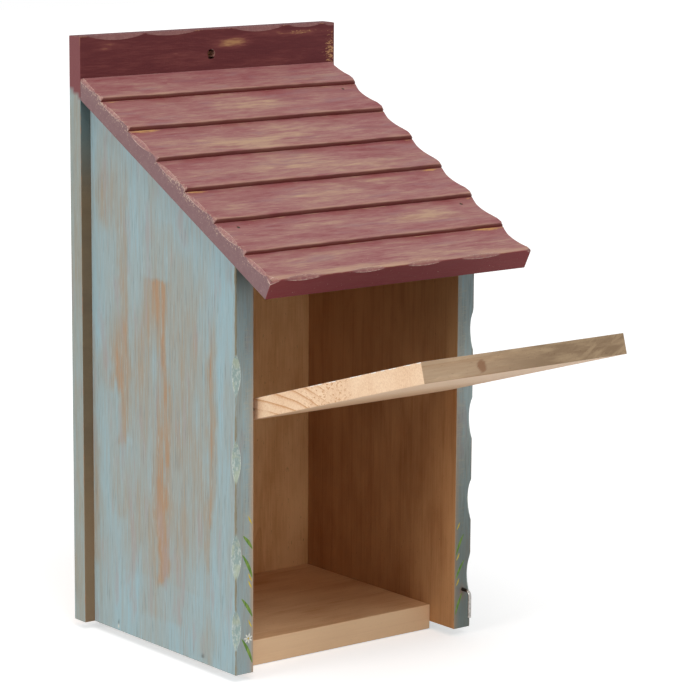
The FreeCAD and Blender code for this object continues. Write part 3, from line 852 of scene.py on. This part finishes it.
ROOF_THICK = 12.3
ROOF_EAVE = 39.5
ROOF_LENGTH = (BACK_Y - FRONT_Y) / math.cos(SLOPE) + ROOF_EAVE
FRONT_COURSE = 26.6
COURSE_PITCH = 30.2
COURSE_STEP = 2.4
COURSE_COUNT = 6
STEPS = [-ROOF_LENGTH + FRONT_COURSE + COURSE_PITCH * k for k in range(COURSE_COUNT)]
# Lines about a step: offset along the slope, and shares of the worn edge's drop, the riser's dark paint with
# painted shade, and the edge mask, a pale line below the riser
STEP_LINES = [
    (-1.8, 0, 0, 0), (-1.0, 0, 0, 0.7), (-0.5, 0, 0, 0.7), (-0.1, 0, 1.0, 0), (0.0, 1.0, 1.0, 0),
    (0.35, 0.3, 0.55, 0), (1.0, 0, 0, 0),
]
ROOF_NAIL_ROWS = (-22.5, -144.5)
ROOF_FRONT_SCALLOPS = [
    (-93, 20, 2.4), (-68, 30, 1.5), (-25, 28, 1.3), (13.5, 30, 1.4), (54, 36, 1.3), (92, 14, 1.6),
]
FINE_SPREAD = (-1.8, -1.2, -0.8, -0.4, 0, 0.4, 0.8, 1.2, 1.8)
# Wear just below a step: number of the step from the front, middle and half width across, strength
STEP_WEAR = [
    (0, 77, 12, 1.0), (2, 81, 7, 0.8), (1, 86, 4, 0.6), (3, 85, 4, 0.5), (4, -80, 11, 1.0), (2, -82, 8, 0.9),
    (5, -84, 7, 0.6),
]
# Rubs on the courses: number from the front and share of the way down, middle and half sizes, strength
ROOF_RUBS = [
    (6.55, -45, 0.15, 30, 0.4), (6.6, 50, 0.2, 40, 0.4), (5.4, 0, 0.25, 26, 0.8), (5.7, -50, 0.2, 24, 0.6),
    (4.7, -30, 0.2, 46, 1.0), (4.5, 20, 0.3, 40, 0.6), (3.5, -8, 0.3, 34, 0.9), (3.7, 40, 0.25, 40, 0.6),
    (2.25, 40, 0.15, 16, 0.9), (2.5, 0, 0.3, 46, 0.6), (2.6, -70, 0.15, 14, 0.5), (1.5, 40, 0.2, 30, 1.0),
    (1.35, -30, 0.2, 34, 0.6), (0.75, 40, 0.2, 30, 0.7), (0.9, 0, 0.1, 80, 0.8), (0.5, -50, 0.2, 22, 0.4),
]


def course_start(y):
    """Lower end and number of the course at each place up the slope."""
    starts = np.array([-ROOF_LENGTH - 1, *STEPS])
    index = np.searchsorted(starts, np.asarray(y) + TINY, side="right") - 1
    return np.where(index > 0, starts[index], -ROOF_LENGTH), index


def butt_wear(y):
    """Depth of the wear on a course's side edge next to its lower end."""
    above = [np.where(y > step - TINY, y - step, COURSE_PITCH) for step in STEPS]
    return smooth(1 - np.min(above, axis=0) / 4)


def side_scallops():
    """Scallops along the roof's two side edges, by their end of X."""
    middles = [-ROOF_LENGTH + FRONT_COURSE - 12.0 + COURSE_PITCH * k for k in range(COURSE_COUNT + 1)]
    scallops = {
        -1: [(place, 24, 1.3 + 0.25 * math.sin(2.1 * k)) for k, place in enumerate(middles)],
        1: [(place, 24, 2.2 + 0.2 * math.sin(1.3 * k + 1)) for k, place in enumerate(middles)],
    }
    scallops[-1].append((-ROOF_LENGTH - 3, 17, 2.6))
    scallops[1].append((-ROOF_LENGTH - 3, 11, 1.4))
    return scallops


def mill_steps(board):
    """Cut the steps into the top, each with a worn and uneven edge, and fit the rear to the back board."""
    x, y = board.flat[:, X], board.flat[:, Y]
    start, _ = course_start(y)
    height = ROOF_THICK - COURSE_STEP / COURSE_PITCH * (y - start)
    for k, step in enumerate(STEPS):
        wear = 0.8 + 0.35 * ripple(x, 40 + k, 70, 6)
        shift = 0.35 * ripple(x, 60 + k, 120, 5)
        for offset, drop, riser_paint_and_shade, edge in STEP_LINES:
            line = np.abs(y - step - offset) < 0.02
            height = np.where(line, height - drop * wear, height)
            board.points[:, Y] += np.where(line & board.on(TOP), shift, 0)
            board.mark("riser_paint_and_shade", riser_paint_and_shade * line, TOP)
            board.mark("edge", edge * line, TOP)
    board.points[:, Z] *= height / ROOF_THICK
    rear = smooth((y + 8) / 8)
    board.points[:, Y] += board.points[:, Z] * math.tan(SLOPE) * rear


def roof_masks(board):
    """Paint zones of the roof: rubbed courses, gold and crimson by the steps, painted shade on the front
    face, and the plain ends.
    """
    x, y = board.flat[:, X], board.flat[:, Y]
    start, course = course_start(y)
    upper = np.array([*STEPS, 0.0])[course]
    down = (upper - y) / (upper - start)
    board.mark("worn", rubs(course + down, x, ROOF_RUBS), TOP)
    gold_rows = [(STEPS[k] - 1.2, place, 1.1, half, share) for k, place, half, share in STEP_WEAR]
    board.mark("gold", rubs(y, x, gold_rows), TOP)
    reach = np.where(course > 0, 3.2, 7.0)
    lip = smooth(1 - (y - start) / reach) * np.clip(0.45 + 0.5 * ripple(x + 40 * course, 83, 90), 0, 1)
    board.mark("lip", lip, TOP)
    crimson = smooth(1 - (upper - y) / 9) * (0.42 + 0.35 * ripple(x + 30 * course, 77, 70))
    board.mark("crimson_and_front_shade", crimson * (course < COURSE_COUNT), TOP)
    # Painted shade: the roof's front face is darkened
    board.mark("crimson_and_front_shade", 0.9, FRONT)
    board.mark("side", board.on(LEFT) | board.on(RIGHT))
    board.mark("flake", smooth(1 - board.inset(LEFT) / 5), TOP)
    board.mark("flake", smooth(1 - board.inset(TOP) / 9), LEFT)
    board.masks["flake"] *= 0.62 + 0.4 * ripple(y, 91, 110)
    covered = (np.abs(x) < INNER_X) & (y > -ROOF_LENGTH + ROOF_EAVE)
    board.mark("bare", covered, UNDER)


def build_roof():
    low, high = extent("roof_board")
    scallops = side_scallops()
    about_steps = [step + row[0] for step in STEPS for row in STEP_LINES]
    others = [y for rows in scallops.values() for y in scallop_ends(rows)]
    others += around(ROOF_NAIL_ROWS, FINE_SPREAD)
    clear = [y for y in others if min(abs(y - line) for line in about_steps) > 0.3]
    across = [*scallop_ends(ROOF_FRONT_SCALLOPS), *around([-WALL_MID_X, WALL_MID_X], FINE_SPREAD)]
    first, last = (low[X], -ROOF_LENGTH, 0.0), (high[X], 0.0, ROOF_THICK)
    board = Board(first, last, (2.4, 2.4, 2.2), (across, [*about_steps, *clear], ()))
    for side in (LEFT, RIGHT):
        carved = scallop_depth(board.flat[:, Y], scallops[side[1]])
        board.work_edge(side, TOP, 0.6, np.maximum(carved, butt_wear(board.flat[:, Y])), wear=0.8)
    board.work_edge(FRONT, TOP, 0.7, scallop_depth(board.flat[:, X], ROOF_FRONT_SCALLOPS), wear=0.9)
    board.ease_edges(0.4, 0.6, [(LEFT, TOP), (RIGHT, TOP), (FRONT, TOP)])
    mill_steps(board)
    roof_masks(board)
    upper, lower = ROOF_NAIL_ROWS
    for place in ((WALL_MID_X, upper), (WALL_MID_X, lower), (-WALL_MID_X, lower)):
        board.dimple(TOP, place, 1.25, 0.8)
    board.points = turned(board.points, SLOPE, BACK_Y, WALL_PEAK_Z)
    add_board("roof_board_painted", board, roof_material(), "box", "roof_board")


# Door: worked hanging closed about its pivot line, then swung open

DOOR_OPEN = math.radians(-106.5)
DOOR_HALF_THICK = 5.65
DOOR_REACH = 149.5
DOOR_TOP = 6.5
PIVOT_Y, PIVOT_Z = FRONT_Y + 4.65, 150.0
KNOT_X = -29.5
DOOR_PITH = (0, -90.3, 9.0)
DOOR_PINE = ((255, 224, 190), (210, 156, 110))


def door_timber(shader):
    """Colour and height of the door's bare wood: ringed ends, and a weathered free edge with a knot."""
    timber, height = wood(shader, X, DOOR_PITH, 5.2, *DOOR_PINE, "rings", 0.6)
    fleck = shader.step(shader.noise([1.8, 2.4, 1.2], 3, 0.65, 3.3), 0.54, 0.62)
    timber = shader.mix(fleck, timber, (206, 152, 108), "flecks")
    slant = shader.noise([26, 3, 2.2], 3, 0.6, 2.7, math.radians(-26))
    cloud = shader.noise([24, 6, 4], 4, 0.6, 4.1)
    level = shader.math("MULTIPLY", shader.step(slant, 0.4, 0.66), "streaks")
    level = shader.math("MAXIMUM", level, shader.step(cloud, 0.4, 0.66))
    grey = shader.mix(level, (146, 121, 94), (176, 150, 119))
    speck = shader.step(shader.noise([1.6, 1.2, 1.2], 3, 0.7, 8.8), 0.6, 0.7)
    grey = shader.mix(speck, grey, (118, 88, 66), 0.5)
    timber = shader.mix("weathered", timber, grey)
    under = shader.mix("shaded", (253, 224, 196), (222, 184, 146))
    timber = shader.mix("under", timber, under, 0.55)
    timber = shader.mix(shader.ragged("knot", slant, 1.2, 0.3, 0.9), timber, (146, 106, 78), 0.85)
    sliver = shader.step(shader.noise([3, 6, 6], 3, 0.7, 5.9), 0.47, 0.53)
    return shader.mix(sliver, timber, (255, 253, 248), "chips"), height


def door_material():
    shader = Shader("door_pine_and_paint", 0.62)
    paint, fine = wall_paint(shader, X, 0.28, 8.2)
    timber, height = door_timber(shader)
    paint = shader.mix(shader.ragged("edge", gritty(shader), 0.9, 0.5, 0.85), paint, (176, 140, 106))
    shader.set("Base Color", shader.mix("bare", paint, timber))
    shader.bump(shader.total((fine, 0.5), (height, 0.5)), 0.2)
    return shader.material


def build_door():
    low, high = extent("front_door")
    first, last = (low[X], -DOOR_HALF_THICK, -DOOR_REACH), (high[X], DOOR_HALF_THICK, DOOR_TOP)
    board = Board(first, last, (3.0, 2.0, 3.0), (KNOT_X + np.linspace(-6, 6, 9), (), ()))
    outer, under, free, end = FRONT, REAR, UNDER, LEFT
    board.ease_edges(0.35, 0.8)
    x, y = board.flat[:, X], board.flat[:, Y]
    length = DOOR_TOP - board.flat[:, Z]
    clean = smooth((30 - length) / 15) * smooth((board.inset(outer) - 4) / 3)
    board.mark("rings", np.where(board.on(end), (0.8 - 0.6 * clean) * smooth((84 - length) / 30), 0.3))
    board.mark("chips", (board.inset(outer) < 1.6) & (length > 60), end)
    board.mark("flecks", smooth(1.3 - np.abs(length - 72) / 24), end)
    board.mark("bare", ~board.on(outer))
    board.mark("worn", 0.2, outer)
    board.mark("weathered", blend(0.65, 1.0, smooth((x + 50) / 80)), free)
    board.mark("streaks", smooth((x - 15) / 40), free)
    board.mark("under", 1.0, under)
    board.mark("shaded", smooth((110 - length) / 90), under)
    board.mark("knot", smooth(1.3 - np.hypot((x - KNOT_X) / 4.0, (y - 0.5) / 3.2)), free)
    board.points = turned(board.points, DOOR_OPEN, PIVOT_Y, PIVOT_Z)
    add_board("front_door_board", board, door_material(), "door", "front_door")


# Painted meadow: thin brush strokes on the front strips and on the door's outer face

# Section of a stroke: shares of its half width, and heights
BRUSH = [(-1, -0.03), (0, 0.14), (1, -0.03), (0, -0.12)]
STROKE_STEPS = 8
PETALS = 7
GREENS, YELLOWS, WHITES = 0, 1, 2


def brush_material(name, light, dark):
    shader = Shader(name, 0.55)
    streak = shader.noise([0.8, 0.8, 5.0], 3, 0.6, 3.7)
    shader.set("Base Color", shader.mix(shader.step(streak, 0.35, 0.65), light, dark))
    shader.bump(streak, 0.08)
    return shader.material


class Meadow:
    """Closed brush strokes on a flat face, in coordinates across it, up it and above it."""

    def __init__(self):
        self.points, self.faces, self.paints = [], [], []

    def stroke(self, paint, start, lean, length, width, bend=0.0):
        """One leaf-like stroke that leaves its start at a lean from upright and bends on the way."""
        share = np.linspace(0, 1, STROKE_STEPS + 1)
        angle = lean + bend * share
        run = np.stack([np.sin(angle), np.cos(angle)], 1)
        line = np.array(start) + np.concatenate([[[0, 0]], np.cumsum(run[:-1], 0)]) * length / STROKE_STEPS
        across = np.stack([np.cos(angle), -np.sin(angle)], 1)
        half = 0.5 * width * np.sin(np.pi * (0.07 + 0.86 * share))
        first, corners = len(self.points), len(BRUSH)
        for place, side, reach in zip(line, across, half):
            for offset, height in BRUSH:
                self.points.append((*(place + side * offset * reach), height))
        last = first + corners * STROKE_STEPS
        for row in range(first, last, corners):
            for j in range(corners):
                turn = (j + 1) % corners
                self.faces.append((row + j, row + turn, row + corners + turn, row + corners + j))
        self.faces.append(tuple(reversed(range(first, first + corners))))
        self.faces.append(tuple(range(last, last + corners)))
        self.paints += [paint] * (corners * STROKE_STEPS + 2)

    def daisy(self, centre, petal):
        for k in range(PETALS):
            angle = 2 * math.pi * k / PETALS + 0.3
            outward = np.array([math.sin(angle), math.cos(angle)])
            self.stroke(WHITES, centre + 0.25 * petal * outward, angle, petal, 0.55 * petal)
        self.stroke(YELLOWS, (centre[0], centre[1] - 0.3 * petal), 0, 0.6 * petal, 0.6 * petal)

    def tuft(self, root, height, leans):
        for k, lean in enumerate(leans):
            start = (root[0] + 0.6 * k, root[1])
            self.stroke(GREENS, start, lean, height * (1 - 0.12 * k), 0.075 * height, lean)

    def add(self, name, body, slot, place, materials):
        points = place(np.array(self.points))
        piece = add_mesh(name, points, self.faces, materials, body, sharp=60)
        piece.data.polygons.foreach_set("material_index", self.paints)


def on_front(points):
    """Points above the walls' front edges."""
    return np.stack([points[:, 0], FRONT_Y - points[:, 2], points[:, 1]], 1)


def on_door(points):
    """Points above the door's outer face, in coordinates about its pivot."""
    hanging = np.stack([points[:, 0], -DOOR_HALF_THICK - points[:, 2], points[:, 1]], 1)
    return turned(hanging, DOOR_OPEN, PIVOT_Y, PIVOT_Z)


def build_meadow():
    paints = [
        brush_material("brush_green", (138, 166, 78), (84, 128, 58)),
        brush_material("brush_yellow", (226, 206, 84), (206, 178, 58)),
        brush_material("brush_white", (240, 240, 234), (222, 220, 208)),
    ]
    left = Meadow()
    for z, lean, length in ((10, -0.3, 16), (36, -0.42, 13), (58, -0.3, 15), (74, -0.5, 10)):
        left.stroke(GREENS, (-72.4, z), lean, length, 2.4, -0.35)
    for z in (30, 52, 56, 88):
        left.stroke(YELLOWS, (-72.6, z), -0.6, 5.0, 1.2, 0.3)
    left.daisy((-75.0, 24.0), 2.3)
    left.add("left_strip_meadow", "box", "wall_paint", on_front, paints)
    right = Meadow()
    for z, lean, length in ((13, 0.25, 13), (34, 0.4, 12), (48, 0.3, 13)):
        right.stroke(GREENS, (72.5, z), lean, length, 2.0, 0.3)
    for z in (30, 45, 63):
        right.stroke(YELLOWS, (72.8, z), 0.6, 4.5, 1.1, -0.3)
    right.add("right_strip_meadow", "box", "wall_paint", on_front, paints)
    door = Meadow()
    rng = np.random.default_rng(31)
    for x in np.linspace(-44, 42, 12):
        root = (x + rng.uniform(-3, 3), -146.0)
        leans = (rng.uniform(-0.33, -0.1), rng.uniform(0, 0.15), rng.uniform(0.15, 0.33))
        door.tuft(root, rng.uniform(24, 44), leans)
    for x, z in ((-46, -94), (-14, -108), (20, -90), (48, -104)):
        door.stroke(GREENS, (x, z - 40), 0, 38, 1.4, rng.uniform(-0.15, 0.15))
        door.daisy((x, z), 5.5)
    for x in np.linspace(-52, 54, 9):
        door.stroke(YELLOWS, (x, -118 + rng.uniform(-9, 12)), rng.uniform(-0.7, 0.7), 6.0, 2.2)
    door.add("door_meadow", "door", "door_wood", on_door, paints)


# Hardware keeps its own solids and gets its finishes


def finish_hardware():
    dark = nail_material()
    zinc = hook_material()
    for name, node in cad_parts.items():
        if name.endswith("_nail") or name == "latch_hook":
            node.data.materials.clear()
            node.data.materials.append(zinc if name == "latch_hook" else dark)


# Stage: floor, lights and camera

CAMERA_PLACE = (-1.0430, -1.39883, 0.49165)
CAMERA_AZIMUTH = math.radians(-38.15)
CAMERA_ELEVATION = math.radians(10.61)
CAMERA_ROLL = math.radians(0.36)
CAMERA_LENS = 160.73
CAMERA_SENSOR = 36
# Soft lights: where from, strength and width in degrees
SOFTBOXES = {
    "left_softbox": ((-0.94, -0.03, 0.34), 1.21, 30),
    "front_softbox": ((-0.22, -0.55, 0.81), 1.12, 34),
}
AMBIENT = 0.415
WHITE = (1, 1, 1, 1)
# Ground, in metres: half its width and its height, just under the object's lowest point
GROUND_HALF = 4.0
GROUND_Z = -0.0003
GROUND_GREY = (0.75, 0.75, 0.75, 1)
GROUND_LIFT = 0.53


def seen_directly(tree):
    """Socket that is 1 for camera, glossy and transmission rays."""
    path = add_node(tree, "ShaderNodeLightPath", {})
    result = path.outputs["Is Camera Ray"]
    for name in ("Is Glossy Ray", "Is Transmission Ray"):
        inputs = {0: result, 1: path.outputs[name]}
        result = add_node(tree, "ShaderNodeMath", inputs, operation="MAXIMUM").outputs[0]
    return result


def build_world():
    world = bpy.data.worlds.new("studio")
    bpy.context.scene.world = world
    world.use_nodes = True
    tree = world.node_tree
    soft = tree.nodes["Background"]
    feed(soft.inputs["Color"], WHITE)
    feed(soft.inputs["Strength"], AMBIENT)
    plain = add_node(tree, "ShaderNodeBackground", {"Color": WHITE, "Strength": 1.0})
    inputs = {0: seen_directly(tree), 1: soft.outputs[0], 2: plain.outputs[0]}
    choice = add_node(tree, "ShaderNodeMixShader", inputs)
    feed(tree.nodes["World Output"].inputs["Surface"], choice.outputs[0])


def build_ground():
    mesh = bpy.data.meshes.new("studio_floor")
    ends = ((-1, -1), (1, -1), (1, 1), (-1, 1))
    mesh.from_pydata([(x * GROUND_HALF, y * GROUND_HALF, GROUND_Z) for x, y in ends], [], [(0, 1, 2, 3)])
    material = bpy.data.materials.new("studio_floor_white")
    material.use_nodes = True
    tree = material.node_tree
    tree.nodes.remove(tree.nodes["Principled BSDF"])
    matt = add_node(tree, "ShaderNodeBsdfDiffuse", {"Color": GROUND_GREY})
    lift = add_node(tree, "ShaderNodeMath", {0: seen_directly(tree), 1: GROUND_LIFT}, operation="MULTIPLY")
    glow = add_node(tree, "ShaderNodeEmission", {"Strength": lift.outputs[0]})
    both = add_node(tree, "ShaderNodeAddShader", {0: matt.outputs[0], 1: glow.outputs[0]})
    feed(tree.nodes["Material Output"].inputs["Surface"], both.outputs[0])
    mesh.materials.append(material)
    add_object("studio_floor", mesh)


def build_lights():
    for name, (place, strength, width) in SOFTBOXES.items():
        lamp = bpy.data.lights.new(name, "SUN")
        lamp.energy = strength
        lamp.angle = math.radians(width)
        add_object(name, lamp).rotation_euler = Vector(place).to_track_quat("Z", "Y").to_euler()


def build_camera():
    az, el, roll = CAMERA_AZIMUTH, CAMERA_ELEVATION, CAMERA_ROLL
    back = Vector((math.sin(az) * math.cos(el), -math.cos(az) * math.cos(el), math.sin(el)))
    right = Vector((math.cos(az), math.sin(az), 0))
    up = back.cross(right)
    level = right * math.cos(roll) + up * math.sin(roll)
    upright = up * math.cos(roll) - right * math.sin(roll)
    lens = bpy.data.cameras.new("photo_camera")
    lens.lens = CAMERA_LENS
    lens.sensor_width = CAMERA_SENSOR
    camera = add_object("photo_camera", lens)
    turn = Matrix((level, upright, back)).transposed().to_4x4()
    camera.matrix_world = Matrix.Translation(CAMERA_PLACE) @ turn
    bpy.context.scene.camera = camera


for wall_side in SIDES:
    build_wall(wall_side)
build_back()
build_floor()
build_roof()
build_door()
build_meadow()
finish_hardware()
build_world()
build_ground()
build_lights()
build_camera()
bpy.context.scene.view_settings.view_transform = "Standard"
